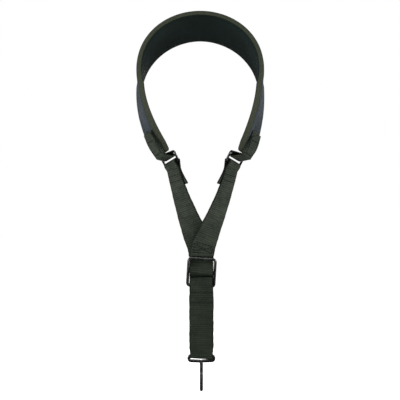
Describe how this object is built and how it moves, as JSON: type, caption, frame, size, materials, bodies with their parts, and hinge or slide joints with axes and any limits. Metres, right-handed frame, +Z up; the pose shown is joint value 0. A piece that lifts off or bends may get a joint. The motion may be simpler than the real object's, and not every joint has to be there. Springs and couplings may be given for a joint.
{
  "type": "instrument neck strap",
  "caption": "Padded neck loop with wire rings at both ends, joined webbing legs, a wire slider that sets the length and a bent wire hook.",
  "frame": {"origin": "inside of the hook's bend, where the instrument's ring rests", "axes": "+Z up along the hanging strap towards the back of the neck, -Y towards the viewer, +X across the webbing, to the viewer's right"},
  "size_m": [0.1307, 0.0515, 0.3856],
  "materials": {
    "pad_core": "matte closed-cell foam",
    "pad_outer": "smooth knit with a soft sheen",
    "pad_inner": "matte brushed knit",
    "webbing": "ribbed woven webbing",
    "thread": "bonded sewing thread",
    "wire": "gloss black coated steel wire"
  },
  "bodies": {
    "neck_pad": {"pad_foam_core": "pad_core", "pad_outer_cover": "pad_outer", "pad_inner_lining": "pad_inner", "left_anchor_tab": "webbing", "right_anchor_tab": "webbing", "left_tab_stitching": "thread", "right_tab_stitching": "thread"},
    "left_ring": {"left_ring": "wire", "left_ring_fold": "webbing", "left_fold_stitching": "thread"},
    "right_ring": {"right_ring": "wire", "right_ring_fold": "webbing", "right_fold_stitching": "thread"},
    "yoke": {"left_leg": "webbing", "right_leg": "webbing", "yoke_stitching": "thread", "strap_upper_run": "webbing"},
    "slider": {"slider_frame": "wire", "slider_center_bar": "wire", "strap_slider_weave": "webbing", "strap_slider_fold": "webbing", "slider_fold_stitching": "thread", "strap_front_run": "webbing"},
    "hook_loop": {"strap_hook_fold": "webbing", "strap_back_run": "webbing"},
    "hook": {"hook": "wire"}
  },
  "joints": [
    {"name": "left_ring_hinge", "type": "hinge", "parent": "neck_pad", "child": "left_ring", "pos_m": [-0.0339, -0.00521, 0.23799], "axis": [0.4314, -0.8725, 0.2294], "range_deg": [-15, 15]},
    {"name": "right_ring_hinge", "type": "hinge", "parent": "neck_pad", "child": "right_ring", "pos_m": [0.0359, -0.00521, 0.23799], "axis": [-0.4314, -0.8725, 0.2294], "range_deg": [-15, 15]},
    {"name": "yoke_swing", "type": "hinge", "parent": "neck_pad", "child": "yoke", "pos_m": [0, 0.0065, 0.209], "axis": [1, 0, 0], "range_deg": [-50, 50], "deforming": ["left_leg", "right_leg"]},
    {"name": "slider_travel", "type": "slide", "parent": "yoke", "child": "slider", "axis": [0, 0, -1], "range_m": [0, 0.08], "deforming": ["strap_upper_run"]},
    {"name": "hook_loop_rise", "type": "slide", "parent": "slider", "child": "hook_loop", "axis": [0, 0, 1], "range_m": [0, 0.04], "deforming": ["strap_front_run", "strap_back_run"]},
    {"name": "hook_swing", "type": "hinge", "parent": "hook_loop", "child": "hook", "pos_m": [0, 0.0064, 0.033], "axis": [1, 0, 0], "range_deg": [-75, 75]}
  ],
  "couplings": [
    {"joint": "hook_loop_rise", "follows": "slider_travel", "ratio": 0.5}
  ]
}
